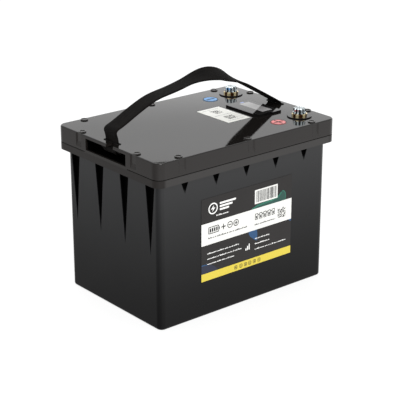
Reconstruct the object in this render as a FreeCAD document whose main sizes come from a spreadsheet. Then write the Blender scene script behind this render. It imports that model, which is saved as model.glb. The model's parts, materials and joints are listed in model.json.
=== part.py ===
import FreeCAD, Part
import math
import os
import re
import Sketcher

# Deep cycle battery: a moulded case and lid, a webbing handle, two bolted terminals, a display module,
# and inside them four prismatic cells with their management board. Millimetres, +Z up, the origin at the
# centre of the case's underside, +X towards the terminals, -Y towards the large label.

DIMENSIONS = {
    "over": 1,  # how far a cut runs past the face that it opens
    # case and lid
    "lid_length": 260, "lid_width": 184.4, "lid_corner": 10, "lid_top": 196, "lid_plate": 4,
    "lid_skirt": 3, "seam_level": 176.5, "lid_edge_round": 1.6,
    "body_length": 244.5, "body_width": 168.5, "body_corner": 7, "base_round": 3,
    "wall": 3.5, "floor": 4, "collar_level": 168.4, "seam_depth": 0.7, "seam_height": 0.8,
    "gasket_outer": 0.75, "gasket_inner": 2.75, "gasket_depth": 1.5,
    "end_recess_width": 16.6, "end_recess_depth": 6, "end_recess_drop": 84, "end_recess_pitch": 45.6,
    "side_notch_width": 12.1, "side_notch_depth": 4.2, "side_notch_drop": 16.8,
    "side_notch_pitch": 43.75,
    "recess_skin": 2.4,
    # lid screws, their caps, and the groove in the skirt beside each
    "screw_side_x": 97, "screw_side_y": 85.5, "screw_end_x": 124.5, "screw_end_y": 50,
    "screw_boss": 4.4, "screw_radius": 1.7, "screw_hole": 2, "screw_head_radius": 3.4,
    "screw_head_height": 2.4, "screw_socket_corner": 1.5, "screw_socket_depth": 1.2,
    "screw_seat": 186, "screw_tip": 170.5, "cap_radius": 4.3, "cap_height": 1.2, "cap_hole": 3.5,
    "cap_plug_radius": 3.45, "cap_plug": 3, "cap_dish_radius": 2.9, "cap_dish": 0.5,
    "groove_width": 10, "groove_bed": 6.4, "groove_depth": 1.4, "groove_end": 3.5, "groove_fade": 6,
    # end pockets and handle
    "pocket_half_width": 36.7, "pocket_low": 179.4, "pocket_high": 192.7, "pocket_depth": 18,
    "pocket_wall": 2.5, "slot_centre": 120, "slot_gap": 3, "slot_length": 26,
    "rim_notch_low": -14.5, "rim_notch_high": -1.5,
    "strap_width": 23, "strap_thickness": 2, "strap_play": 0.4,
    "bar_radius": 2.5, "bar_length": 34, "bar_drop": 8, "bar_clearance": 0.1,
    "collar_length": 26.6, "collar_width": 3.8, "collar_height": 0.8,
    # terminals
    "terminal_x": 102.2, "terminal_y": 60, "disc_radius": 14.3, "disc_height": 1.3, "disc_bevel": 0.3,
    "neck_radius": 9.4, "flange_radius": 9, "flange_height": 2.7, "flange_bevel": 0.6,
    "shank_radius": 7, "shank_hole": 7.05, "shank_drop": 17,
    "bore_radius": 4.05, "bore_drop": 15, "lug_radius": 11, "lug_thickness": 1.5, "lug_barrel": 4.4,
    "lug_barrel_length": 9, "lug_reach": 28, "lug_tongue_length": 14, "lug_tongue_width": 12,
    "lug_overlap": 3, "lug_hole": 7.1, "cable_hole": 3.05, "cable_hole_length": 7,
    "nut_corner": 11, "nut_height": 5, "washer_radius": 7.6, "washer_height": 1.1, "washer_hole": 4.1,
    "spring_radius": 6.7, "spring_height": 1.2, "spring_gap": 1.4,
    "bolt_radius": 4, "bolt_length": 20, "head_corner": 7.3, "head_height": 3.7, "head_top_radius": 5.9,
    # display module
    "display_x": 80.5, "display_y": -5, "display_length": 37, "display_width": 58, "display_rise": 2.2,
    "display_corner": 2, "display_tub_length": 31, "display_tub_width": 52, "display_tub_depth": 9,
    "display_wall": 1.5, "window_length": 34, "window_width": 55, "window_thickness": 1,
    "display_gap": 0.2, "lcd_x": 84, "lcd_length": 15, "lcd_width": 41, "lcd_thickness": 1.6,
    "display_board_thickness": 1.6, "display_board_drop": 6,
    "lamp_x": 83, "lamp_y": 17.8, "lamp_length": 5, "lamp_width": 3, "lamp_height": 1.5,
    # labels
    "front_label_width": 134.5, "front_label_height": 97, "front_label_x": 2.25,
    "front_label_level": 42.5,
    "top_label_x": 38.5, "top_label_length": 33, "top_label_width": 56, "label_thickness": 0.3,
    "sticker_radius": 9.3, "minus_x": 68, "minus_y": 58, "plus_x": 67.5, "plus_y": -62,
    # cells
    "cell_length": 130, "cell_width": 36.35, "cell_height": 165, "cell_x": -41, "cell_level": 7,
    "cell_gap": 0.5, "cell_round": 1.5, "post_offset": 44, "post_radius": 8, "post_height": 3,
    "stud_radius": 3, "stud_height": 8, "separator_inset": 2, "end_plate": 2,
    "band_thickness": 1, "band_width": 12, "band_low": 45, "band_high": 115,
    "busbar_width": 20, "busbar_thickness": 2, "stud_hole": 3.1,
    "cell_lug_barrel": 4, "cell_lug_reach": 9, "cell_lug_width": 8,
    "nut_m6_corner": 5.77, "nut_m6_height": 4, "nut_m6_hole": 3.05,
    # battery management unit
    "divider_x": 26, "divider_thickness": 2, "divider_width": 152, "board_x": 33, "board_thickness": 1.6,
    "board_width": 124, "board_low": 60, "board_high": 150,
    "pillar_y": 56, "pillar_inset": 6, "pillar_radius": 3, "pillar_head": 2, "pin_radius": 1.5,
    "pin_hole": 1.55, "mosfet_height": 4.4, "mosfet_width": 10, "mosfet_length": 9, "mosfet_pitch": 11,
    "mosfet_low": 76, "mosfet_high": 104, "sink_base": 3, "fin_height": 8, "fin_thickness": 1.5,
    "fin_pitch": 8, "sink_width": 110, "sink_low": 64, "sink_high": 126,
    "plug_depth": 6, "plug_width": 30, "plug_height": 10, "plug_y": -45, "plug_level": 134,
    # foam and cables
    "foam_overhang": 5, "foam_width": 150, "foam_end_x": -112.5, "foam_end_thickness": 5,
    "pad_width": 120, "foam_end_height": 150, "foam_end_level": 12,
    "spacer_x": 29.5, "spacer_length": 82, "spacer_height": 46,
    "cable_radius": 3, "wire_radius": 1.2, "harness_radius": 2, "lead_radius": 0.75,
}

doc = FreeCAD.newDocument("deep_cycle_battery")
sheet = doc.addObject("Spreadsheet::Sheet", "dims")
for row, (alias, number) in enumerate(DIMENSIONS.items(), start=1):
    sheet.set("A%d" % row, str(number))
    sheet.setAlias("A%d" % row, alias)
doc.recompute()

SUB_PARTS = []
Z_AXIS = FreeCAD.Vector(0, 0, 1)
POST_LEVEL = "cell_level + cell_height + post_height"


def dim(alias):
    """The number in the sheet's cell of that name."""
    return float(getattr(sheet, alias))


def bind(obj, prop, expression):
    """Binds a property to an expression in which the sheet's aliases are plain words."""
    def full(word):
        return "dims." + word[0] if word[0] in DIMENSIONS else word[0]

    obj.setExpression(prop, re.sub(r"[a-z_]\w*", full, str(expression)))


def place(obj, at):
    """Binds the three coordinates of an object's place."""
    for axis, expression in zip("xyz", at):
        bind(obj, "Placement.Base." + axis, expression)


def turn(obj, axis, degrees):
    """Turns an object about an axis through its own place."""
    rotation = FreeCAD.Rotation(FreeCAD.Vector(*axis), degrees)
    obj.Placement = FreeCAD.Placement(obj.Placement.Base, rotation)


def keep(obj, label):
    """Gives an object the name of its sub-part and counts it as one."""
    obj.Label = label
    SUB_PARTS.append(obj)
    return obj


def primitive(kind, sizes, at):
    """A Part primitive with bound sizes and place."""
    obj = doc.addObject("Part::" + kind, kind.lower())
    for prop, expression in sizes.items():
        bind(obj, prop, expression)
    place(obj, at)
    return obj


def block(size, low):
    """A box from its lowest corner."""
    return primitive("Box", dict(zip(("Length", "Width", "Height"), size)), low)


def centred_block(size, middle_low):
    """A box centred in X and Y on a point of its underside."""
    low = ["(%s) - (%s) / 2" % (middle_low[i], size[i]) for i in (0, 1)]
    return block(size, low + [middle_low[2]])


def rod(radius, height, at, axis=None):
    """A cylinder that stands on a point, along Z or turned along X or Y."""
    obj = primitive("Cylinder", {"Radius": radius, "Height": height}, at)
    if axis == "x":
        turn(obj, (0, 1, 0), 90)
    if axis == "y":
        turn(obj, (1, 0, 0), -90)
    return obj


def bevelled_rod(radius, height, bevel, at):
    """A standing rod with its upper edge bevelled."""
    below = "%s - %s" % (height, bevel)
    sizes = {"Radius1": radius, "Radius2": "%s - %s" % (radius, bevel), "Height": bevel}
    tip = primitive("Cone", sizes, (at[0], at[1], "%s + %s" % (at[2], below)))
    return fuse([rod(radius, below, at), tip])


def hexagon(corner, height, at):
    """A hexagonal prism that stands on a point."""
    obj = primitive("Prism", {"Circumradius": corner, "Height": height}, at)
    obj.Polygon = 6
    return obj


def fuse(pieces):
    """One solid of several."""
    obj = doc.addObject("Part::MultiFuse", "fuse")
    obj.Shapes = pieces
    return obj


def cut(base, tools):
    """A solid less the tools."""
    obj = doc.addObject("Part::Cut", "cut")
    obj.Base = base
    obj.Tool = tools[0] if len(tools) == 1 else fuse(tools)
    return obj


def washer(outer, inner, height, at, corners=False):
    """A ring, round or six-cornered outside, that stands on a point."""
    solid = hexagon(outer, height, at) if corners else rod(outer, height, at)
    below = at[:2] + ("(%s) - over" % at[2],)
    return cut(solid, [rod(inner, "(%s) + 2 * over" % height, below)])


def group(pieces):
    """Separate solids that share one node."""
    obj = doc.addObject("Part::Compound", "group")
    obj.Links = pieces
    return obj


def new_body(label):
    """An empty PartDesign body for a sub-part."""
    return keep(doc.addObject("PartDesign::Body", label), label)


def origin_plane(body, role):
    """One of a body's own origin planes."""
    return next(f for f in body.Origin.OriginFeatures if f.Role == role)


def add_outline(sketch, outline):
    """Draws a centred rectangle with rounded corners, from its cells, moved in by a wall."""
    length, width, corner, inset = outline
    move = dim(inset) if inset else 0
    half_x = dim(length) / 2 - move
    half_y = dim(width) / 2 - move
    radius = max(dim(corner) - move, 0.5)
    first = sketch.GeometryCount
    inner = [(1, -1, -90), (1, 1, 0), (-1, 1, 90), (-1, -1, 180)]
    centres = [FreeCAD.Vector(sx * (half_x - radius), sy * (half_y - radius), 0) for sx, sy, _ in inner]
    arcs = []
    for centre, (_, _, start) in zip(centres, inner):
        circle = Part.Circle(centre, Z_AXIS, radius)
        arcs.append(Part.ArcOfCircle(circle, math.radians(start), math.radians(start + 90)))
    for index, arc in enumerate(arcs):
        after = arcs[(index + 1) % 4]
        sketch.addGeometry(arc, False)
        sketch.addGeometry(Part.LineSegment(arc.EndPoint, after.StartPoint), False)
    name = "outline%d_" % first
    for index in range(4):
        arc = first + 2 * index
        line = arc + 1
        after = first + (2 * index + 2) % 8
        sketch.addConstraint(Sketcher.Constraint("Tangent", arc, 2, line, 1))
        sketch.addConstraint(Sketcher.Constraint("Tangent", line, 2, after, 1))
        sketch.addConstraint(Sketcher.Constraint("Vertical" if index % 2 == 0 else "Horizontal", line))
        if index:
            sketch.addConstraint(Sketcher.Constraint("Equal", first, arc))
    sketch.addConstraint(Sketcher.Constraint("Symmetric", first, 3, first + 4, 3, -1, 1))
    corner_radius = sketch.addConstraint(Sketcher.Constraint("Radius", first, radius))
    across = Sketcher.Constraint("DistanceX", first + 5, 1, first + 1, 1, 2 * half_x)
    along = Sketcher.Constraint("DistanceY", first + 7, 1, first + 3, 1, 2 * half_y)
    for key, rule, alias in (("length", across, length), ("width", along, width)):
        sketch.renameConstraint(sketch.addConstraint(rule), name + key)
        less = " - 2 * %s" % inset if inset else ""
        bind(sketch, "Constraints." + name + key, alias + less)
    sketch.renameConstraint(corner_radius, name + "corner")
    less = " - %s" % inset if inset else ""
    bind(sketch, "Constraints." + name + "corner", "max(%s%s; 0.5)" % (corner, less))


def extrude(body, outlines, centre, height, removes=False):
    """Pads or pockets a set of outlines upwards from a level, about a centre."""
    sketch = body.newObject("Sketcher::SketchObject", "sketch")
    sketch.AttachmentSupport = (origin_plane(body, "XY_Plane"), "")
    sketch.MapMode = "FlatFace"
    for axis, expression in zip("xyz", centre):
        bind(sketch, "AttachmentOffset.Base." + axis, expression)
    for outline in outlines:
        add_outline(sketch, outline)
    feature = body.newObject("PartDesign::Pocket" if removes else "PartDesign::Pad", "step")
    feature.Profile = sketch
    feature.Reversed = removes
    bind(feature, "Length", height)
    doc.recompute()
    return feature


def shaped(body, kind, sizes, at, rotation=None):
    """Adds or takes away a primitive in a body, such as AdditiveBox or SubtractiveCylinder."""
    feature = body.newObject("PartDesign::" + kind, kind)
    for prop, expression in sizes.items():
        bind(feature, prop, expression)
    place(feature, at)
    if rotation is not None:
        feature.Placement = FreeCAD.Placement(feature.Placement.Base, rotation)
    return feature


def shaped_box(body, sign, size, middle_low):
    """Adds or takes away a box centred on a point of its underside."""
    sizes = dict(zip(("Length", "Width", "Height"), size))
    low = ["(%s) - (%s) / 2" % (middle_low[i], size[i]) for i in (0, 1)]
    return shaped(body, sign + "Box", sizes, low + [middle_low[2]])


def shaped_rod(body, sign, radius, height, at):
    """Adds or takes away a standing cylinder."""
    return shaped(body, sign + "Cylinder", {"Radius": radius, "Height": height}, at)


def round_edges(body, feature, radius, chosen):
    """Rounds the edges of a feature for which chosen(edge) is true."""
    doc.recompute()
    names = ["Edge%d" % i for i, edge in enumerate(feature.Shape.Edges, start=1) if chosen(edge)]
    fillet = body.newObject("PartDesign::Fillet", "rounding")
    fillet.Base = (feature, names)
    bind(fillet, "Radius", radius)
    doc.recompute()
    return fillet


def at_level(edge, level):
    """Whether an edge lies flat at one height."""
    box = edge.BoundBox
    return abs(box.ZMin - level) < 1e-4 and abs(box.ZMax - level) < 1e-4


def pyramid(body, sign, half, lengths, along, outward):
    """A recess or its skin: full size under the collar, narrowing to a point on the wall below."""
    depth, width, drop = lengths
    sizes = {
        "Xmin": "%s - (%s)" % (half, depth), "Xmax": half, "X2min": half, "X2max": half,
        "Ymin": 0, "Ymax": drop,
        "Zmin": "-(%s) / 2" % width, "Zmax": "(%s) / 2" % width, "Z2min": 0, "Z2max": 0,
    }
    down = FreeCAD.Rotation(FreeCAD.Vector(1, 0, 0), -90)
    faced = FreeCAD.Rotation(Z_AXIS, outward) * down
    at = (0, along, "collar_level") if outward in (0, 180) else (along, 0, "collar_level")
    return shaped(body, sign + "Wedge", sizes, at, faced)


def case():
    """The box: walls, a flange round the rim, and recesses pressed into the walls under the flange."""
    body = new_body("case")
    shell = extrude(body, [("body_length", "body_width", "body_corner", None)], (0, 0, 0), "seam_level")
    round_edges(body, shell, "base_round", lambda edge: at_level(edge, 0))
    flange = ("lid_length", "lid_width", "lid_corner", None)
    extrude(body, [flange], (0, 0, "collar_level"), "seam_level - collar_level")
    cavity = ("body_length", "body_width", "body_corner", "wall")
    extrude(body, [cavity], (0, 0, "floor"), "seam_level - floor + over", removes=True)
    recesses = [
        ("body_length / 2", "end_recess", (0, 180), (-1.5, -0.5, 0.5, 1.5)),
        ("body_width / 2", "side_notch", (90, -90), (-2, -1, 0, 1, 2)),
    ]
    for half, name, faces, steps in recesses:
        sizes = [name + end for end in ("_depth", "_width", "_drop")]
        thick = [size + " + %d * recess_skin" % sides for size, sides in zip(sizes, (1, 2, 1))]
        for sign, lengths in (("Additive", thick), ("Subtractive", sizes)):
            for outward in faces:
                for step in steps:
                    pyramid(body, sign, half, lengths, "%s * %s_pitch" % (step, name), outward)
    extrude(body, gasket_ring(), (0, 0, "seam_level - gasket_depth"), "gasket_depth + over", removes=True)
    deep = "seam_level - screw_tip + over"
    for x, y in screw_places():
        shaped_rod(body, "Subtractive", "screw_radius", deep, (x, y, "screw_tip"))


def screw_places():
    """The ten lid screws: three along each side and two at each end."""
    places = []
    for sign in ("", "-"):
        places += [(x, sign + "screw_side_y") for x in ("screw_side_x", 0, "-screw_side_x")]
        places += [(sign + "screw_end_x", y) for y in ("screw_end_y", "-screw_end_y")]
    return places


def gasket_ring():
    """The two outlines of the seal, inside the case's own outline."""
    outline = ("body_length", "body_width", "body_corner")
    return [outline + (inset,) for inset in ("gasket_outer", "gasket_inner")]


def lid():
    """The cover: a plate, a skirt stepped back at the seam, an inner rim, screw bosses and end pockets."""
    body = new_body("lid")
    outer = ("lid_length", "lid_width", "lid_corner", None)
    slab = extrude(body, [outer], (0, 0, "seam_level"), "lid_top - seam_level")
    round_edges(body, slab, "lid_edge_round", lambda edge: at_level(edge, dim("lid_top")))
    inside = "lid_top - lid_plate - seam_level"
    cavity = ("body_length", "body_width", "body_corner", "wall")
    extrude(body, [cavity], (0, 0, "seam_level"), inside, removes=True)
    trough = [
        ("lid_length", "lid_width", "lid_corner", "lid_skirt"),
        ("body_length", "body_width", "body_corner", None),
    ]
    extrude(body, trough, (0, 0, "seam_level"), inside, removes=True)
    reveal = [outer, ("lid_length", "lid_width", "lid_corner", "seam_depth")]
    extrude(body, reveal, (0, 0, "seam_level"), "seam_height", removes=True)
    for x, y in screw_places():
        shaped_rod(body, "Additive", "screw_boss", inside, (x, y, "seam_level"))
    for side in (-1, 1):
        middle = "%d * (lid_length / 2 - pocket_depth / 2 - pocket_wall / 2)" % side
        size = ("pocket_depth + pocket_wall", "2 * pocket_half_width + 2 * pocket_wall", inside)
        shaped_box(body, "Additive", size, (middle, 0, "seam_level"))
    for side in (-1, 1):
        hand_pocket(body, side)
    for x, y in screw_places():
        screw_hole(body, x, y)
    plate_under = "lid_top - lid_plate - over"
    for y in ("terminal_y", "-terminal_y"):
        at = ("terminal_x", y, plate_under)
        shaped_rod(body, "Subtractive", "neck_radius + 0.1", "lid_plate + 2 * over", at)
    tub = ("display_tub_length + 2 * display_gap", "display_tub_width + 2 * display_gap")
    at = ("display_x", "display_y", plate_under)
    shaped_box(body, "Subtractive", tub + ("lid_plate + 2 * over",), at)


def hand_pocket(body, side):
    """The pocket in one end of the lid, with the slot over it and the notch in its upper rim."""
    middle = "%d * (lid_length / 2 - pocket_depth / 2 + over / 2)" % side
    size = ("pocket_depth + over", "2 * pocket_half_width", "pocket_high - pocket_low")
    shaped_box(body, "Subtractive", size, (middle, 0, "pocket_low"))
    through = "lid_top - pocket_high + 2 * over"
    under = "pocket_high - over"
    slot = ("slot_gap", "slot_length", through)
    shaped_box(body, "Subtractive", slot, ("%d * slot_centre" % side, 0, under))
    run = "(lid_length / 2 - slot_centre + over)"
    notch = (run, "rim_notch_high - rim_notch_low", through)
    reach = "%d * (slot_centre + %s / 2)" % (side, run)
    middle_y = "%d * (rim_notch_high + rim_notch_low) / -2" % side
    shaped_box(body, "Subtractive", notch, (reach, middle_y, under))


def screw_hole(body, x, y):
    """The hole for a lid screw and its cap, and the drafted groove in the skirt, fading out downwards."""
    below = "seam_level - over"
    through = "lid_top - seam_level + 2 * over"
    shaped_rod(body, "Subtractive", "screw_hole", through, (x, y, below))
    shaped_rod(body, "Subtractive", "cap_hole", "lid_top - screw_seat + over", (x, y, "screw_seat"))
    at_end = "end" in str(x)
    half = "lid_length / 2" if at_end else "lid_width / 2"
    negative = str(x if at_end else y).startswith("-")
    edge = "-" + half if negative else half
    run = "lid_top + over - seam_level - groove_end"
    sizes = {
        "Xmin": "-groove_width / 2", "Xmax": "groove_width / 2",
        "X2min": "-groove_bed / 2", "X2max": "groove_bed / 2",
        "Ymin": 0, "Ymax": "groove_depth",
        "Zmin": 0, "Zmax": run, "Z2min": "groove_fade", "Z2max": run,
    }
    low = "seam_level + groove_end"
    at = (edge, y, low) if at_end else (x, edge, low)
    faced = (-90 if negative else 90) if at_end else (0 if negative else 180)
    shaped(body, "SubtractiveWedge", sizes, at, FreeCAD.Rotation(Z_AXIS, faced))


def gasket():
    """The seal in the groove of the case's rim."""
    body = new_body("lid_gasket")
    extrude(body, gasket_ring(), (0, 0, "seam_level - gasket_depth"), "gasket_depth")


def lid_fasteners():
    """The screws that hold the lid, and the round caps over their heads."""
    screws = []
    caps = []
    for x, y in screw_places():
        head = rod("screw_head_radius", "screw_head_height", (x, y, "screw_seat"))
        shank = rod("screw_radius", "screw_seat - screw_tip", (x, y, "screw_tip"))
        socket_level = "screw_seat + screw_head_height - screw_socket_depth"
        socket = hexagon("screw_socket_corner", "screw_socket_depth + over", (x, y, socket_level))
        screws.append(cut(fuse([head, shank]), [socket]))
        disc = rod("cap_radius", "cap_height", (x, y, "lid_top"))
        plug = rod("cap_plug_radius", "cap_plug", (x, y, "lid_top - cap_plug"))
        dish = rod("cap_dish_radius", "cap_dish + over", (x, y, "lid_top + cap_height - cap_dish"))
        caps.append(cut(fuse([disc, plug]), [dish]))
    keep(group(screws), "lid_screws")
    keep(group(caps), "screw_caps")


def route(points, closest):
    """A wire of straight runs joined by tangent arcs, each as large as its two runs allow."""
    points = [FreeCAD.Vector(*point) for point in points]
    edges = []
    start = points[0]
    for before, corner, after in zip(points, points[1:], points[2:]):
        back = (before - corner).normalize()
        ahead = (after - corner).normalize()
        turning = math.pi - back.getAngle(ahead)
        run = 0.45 * min((before - corner).Length, (after - corner).Length)
        radius = run / math.tan(turning / 2)
        if radius < closest:
            raise ValueError("a bend of %.1f mm is too tight" % radius)
        middle = (back + ahead).normalize()
        inside = corner + middle * (radius / math.cos(turning / 2) - radius)
        enter = corner + back * run
        leave = corner + ahead * run
        edges.append(Part.LineSegment(start, enter).toShape())
        edges.append(Part.Arc(enter, inside, leave).toShape())
        start = leave
    edges.append(Part.LineSegment(start, points[-1]).toShape())
    return Part.Wire(edges)


def solid_feature(label, shape):
    """A sub-part whose shape is worked out here from the sheet's numbers."""
    obj = doc.addObject("Part::Feature", label)
    obj.Shape = shape
    obj.Placement = FreeCAD.Placement()
    return keep(obj, label)


def tube(label, radius, points, closest):
    """A cable held inside the case, swept along its route, with its volume compared with its length."""
    path = route(points, closest)
    start = path.Edges[0]
    ring = Part.Wire(Part.makeCircle(radius, start.valueAt(start.FirstParameter), start.tangentAt(0)))
    solid = path.makePipeShell([ring], True, True)
    expected = math.pi * radius ** 2 * path.Length
    if abs(solid.Volume / expected - 1) > 0.01:
        raise ValueError(label + " has the wrong volume")
    return solid_feature(label, solid)


def strap_strip(points, closest):
    """Webbing of the strap's section along a route in the XZ plane."""
    path = route(points, closest)
    start = path.Edges[0]
    along = start.tangentAt(start.FirstParameter)
    across = FreeCAD.Vector(0, dim("strap_width") / 2, 0)
    through = along.cross(FreeCAD.Vector(0, 1, 0)).normalize() * (dim("strap_thickness") / 2)
    end = start.valueAt(start.FirstParameter)
    corners = [
        end + across + through, end - across + through, end - across - through, end + across - through,
    ]
    section = Part.makePolygon(corners + corners[:1])
    return path.makePipeShell([section], True, False)


def between(start, end, share):
    """The point that lies a share of the way from one point to another."""
    return tuple(a + (b - a) * share for a, b in zip(start, end))


def handle():
    """The carrying strap in three lengths: the part that swings and the two feet that flex."""
    top = dim("lid_top")
    end = dim("slot_centre")
    arch = [(-74, 36.2), (-48, 42.8), (-14, 50.2), (8, 52.4), (30, 49.6), (56, 39.4)]
    left_bend = (-122.4, 14)
    right_bend = (end, 4)
    left_end = between(left_bend, arch[0], 0.2)
    right_end = between(right_bend, arch[-1], 0.42)
    runs = {
        "handle_strap": [left_end] + arch + [right_end],
        "strap_foot_left": [(-end, -5), (-end, 3.2), left_bend, left_end],
        "strap_foot_right": [(end, -5), right_bend, right_end],
    }
    for label, run in runs.items():
        strip = strap_strip([(x, 0, top + rise) for x, rise in run], 1.5)
        if label != "handle_strap":
            strip = strip.fuse(strap_loop(run[0][0])).removeSplitter()
        solid_feature(label, strip)
    bars = []
    collars = []
    for side in (-1, 1):
        x = "%d * slot_centre" % side
        bars.append(rod("bar_radius", "bar_length", (x, "-bar_length / 2", "lid_top - bar_drop"), "y"))
        plate = centred_block(("collar_width", "collar_length", "collar_height"), (x, 0, "lid_top"))
        size = ("strap_thickness + 2 * strap_play", "strap_width + 2 * strap_play")
        opening = centred_block(size + ("collar_height + 2 * over",), (x, 0, "lid_top - over"))
        collars.append(cut(plate, [opening]))
    keep(group(bars), "strap_bars")
    keep(group(collars), "strap_collars")


def strap_loop(x):
    """The end of the strap, sewn round its bar in the pocket."""
    width = dim("strap_width")
    low = FreeCAD.Vector(x, -width / 2, dim("lid_top") - dim("bar_drop"))
    along = FreeCAD.Vector(0, 1, 0)
    inner = dim("bar_radius") + dim("bar_clearance")
    outer = Part.makeCylinder(inner + dim("strap_thickness"), width, low, along)
    return outer.cut(Part.makeCylinder(inner, width, low, along))


def display():
    """The display module: a bezel with a tub through the lid, a window, an LCD, a board and a lamp."""
    centre = ("display_x", "display_y")
    bezel = new_body("display_housing")
    sizes = ("display_length", "display_width", "display_rise")
    raised = shaped_box(bezel, "Additive", sizes, centre + ("lid_top",))
    half_rise = dim("display_rise") / 2
    round_edges(bezel, raised, "display_corner", lambda edge: edge.BoundBox.ZLength > half_rise)
    tub = ("display_tub_length", "display_tub_width", "display_tub_depth")
    shaped_box(bezel, "Additive", tub, centre + ("lid_top - display_tub_depth",))
    inner = ("(display_tub_length - 2 * display_wall)", "(display_tub_width - 2 * display_wall)")
    hollow = inner + ("display_tub_depth + display_rise + 2 * over",)
    shaped_box(bezel, "Subtractive", hollow, centre + ("lid_top - display_tub_depth - over",))
    seat_level = "lid_top + display_rise - window_thickness"
    seat = ("window_length", "window_width", "window_thickness + over")
    shaped_box(bezel, "Subtractive", seat, centre + (seat_level,))
    pane = ("window_length - display_gap", "window_width - display_gap", "window_thickness")
    keep(centred_block(pane, centre + (seat_level,)), "display_window")
    panel = ("lcd_length", "lcd_width", "lcd_thickness")
    panel_level = seat_level + " - lcd_thickness - display_gap / 2"
    keep(centred_block(panel, ("lcd_x", "display_y", panel_level)), "display_lcd")
    board = tuple(side + " - 2 * display_gap" for side in inner) + ("display_board_thickness",)
    keep(centred_block(board, centre + ("lid_top - display_board_drop",)), "display_board")
    lamp = ("lamp_length", "lamp_width", "lamp_height")
    lamp_level = "lid_top - display_board_drop + display_board_thickness"
    keep(centred_block(lamp, ("lamp_x", "lamp_y", lamp_level)), "display_lamp")


def terminal(name, y):
    """One terminal, from the disc on the lid up to its bolt and down to its cable lug and nut."""
    x = "terminal_x"
    under = "lid_top - lid_plate"
    seat = "lid_top + disc_height"
    disc = bevelled_rod("disc_radius", "disc_height", "disc_bevel", (x, y, "lid_top"))
    neck = rod("neck_radius", "lid_plate", (x, y, under))
    hole = rod("shank_hole", "lid_plate + disc_height + 2 * over", (x, y, under + " - over"))
    keep(cut(fuse([disc, neck]), [hole]), name + "_terminal_disc")
    flange = bevelled_rod("flange_radius", "flange_height", "flange_bevel", (x, y, seat))
    shank = rod("shank_radius", "shank_drop + disc_height", (x, y, "lid_top - shank_drop"))
    deep = "bore_drop + disc_height + flange_height + over"
    bore = rod("bore_radius", deep, (x, y, "lid_top - bore_drop"))
    keep(cut(fuse([flange, shank]), [bore]), name + "_terminal_post")
    lug_level = under + " - lug_thickness"
    barrel_level = under + " - lug_barrel"
    ring = rod("lug_radius", "lug_thickness", (x, y, lug_level))
    tongue_x = "terminal_x - lug_reach + lug_barrel_length - lug_overlap"
    tongue = block(("lug_tongue_length", "lug_tongue_width", "lug_thickness"),
                   (tongue_x, "(%s) - lug_tongue_width / 2" % y, lug_level))
    barrel = rod("lug_barrel", "lug_barrel_length", ("terminal_x - lug_reach", y, barrel_level), "x")
    eye = rod("lug_hole", "2 * lug_barrel + 2 * over", (x, y, barrel_level + " - lug_barrel - over"))
    socket_x = "terminal_x - lug_reach - over"
    socket = rod("cable_hole", "cable_hole_length + over", (socket_x, y, barrel_level), "x")
    keep(cut(fuse([ring, tongue, barrel]), [eye, socket]), name + "_terminal_lug")
    nut_at = (x, y, lug_level + " - nut_height")
    keep(washer("nut_corner", "shank_hole", "nut_height", nut_at, corners=True), name + "_terminal_nut")
    face = seat + " + flange_height"
    keep(washer("washer_radius", "washer_hole", "washer_height", (x, y, face)), name + "_flat_washer")
    spring_level = face + " + washer_height"
    coil = washer("spring_radius", "washer_hole", "spring_height", (x, y, spring_level))
    gap = block(("spring_radius + over", "spring_gap", "spring_height + 2 * over"),
                (x, "(%s) - spring_gap / 2" % y, spring_level + " - over"))
    keep(cut(coil, [gap]), name + "_spring_washer")
    head_level = spring_level + " + spring_height"
    head = hexagon("head_corner", "head_height", (x, y, head_level))
    bevel = {"Radius1": "head_top_radius + head_height * tan(60)", "Radius2": "head_top_radius",
             "Height": "head_height"}
    chamfered = doc.addObject("Part::Common", "chamfered")
    chamfered.Base = head
    chamfered.Tool = primitive("Cone", bevel, (x, y, head_level))
    thread = rod("bolt_radius", "bolt_length", (x, y, head_level + " - bolt_length"))
    keep(fuse([chamfered, thread]), name + "_bolt")


def labels():
    """The large label, the small one on the lid, and the two round polarity stickers."""
    size = ("front_label_width", "label_thickness", "front_label_height")
    left = "front_label_x - front_label_width / 2"
    behind = "-body_width / 2 - label_thickness"
    keep(block(size, (left, behind, "front_label_level")), "front_label")
    size = ("top_label_length", "top_label_width", "label_thickness")
    keep(centred_block(size, ("top_label_x", 0, "lid_top")), "top_label")
    for name in ("plus", "minus"):
        sticker = rod("sticker_radius", "label_thickness", (name + "_x", name + "_y", "lid_top"))
        keep(sticker, name + "_sticker")


def cell_middle(index):
    """The Y coordinate of a cell's middle, counted from the front."""
    return "%s * (cell_width + cell_gap)" % (index - 2.5)


def cell_post(index, side):
    """The X and Y of one of a cell's two posts."""
    return "cell_x + %d * post_offset" % side, cell_middle(index)


def cells():
    """Four cells, a cup-shaped post at each end of each, and thin sheets between them."""
    posts = []
    for index in range(1, 5):
        body = new_body("cell_%d" % index)
        size = ("cell_length", "cell_width", "cell_height")
        can = shaped_box(body, "Additive", size, ("cell_x", cell_middle(index), "cell_level"))
        half = dim("cell_height") / 2
        round_edges(body, can, "cell_round", lambda edge: edge.BoundBox.ZLength > half)
        for side in (-1, 1):
            at = cell_post(index, side)
            pad = rod("post_radius", "post_height", at + ("cell_level + cell_height",))
            posts.append(fuse([pad, rod("stud_radius", "stud_height", at + (POST_LEVEL,))]))
    keep(group(posts), "cell_posts")
    sheets = []
    for index in (1, 2, 3):
        y = "(%s + cell_width / 2 + cell_gap / 2)" % cell_middle(index)
        size = ("cell_length - 2 * separator_inset", "cell_gap", "cell_height - 2 * separator_inset")
        sheets.append(centred_block(size, ("cell_x", y, "cell_level + separator_inset")))
    keep(group(sheets), "cell_separators")


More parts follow.
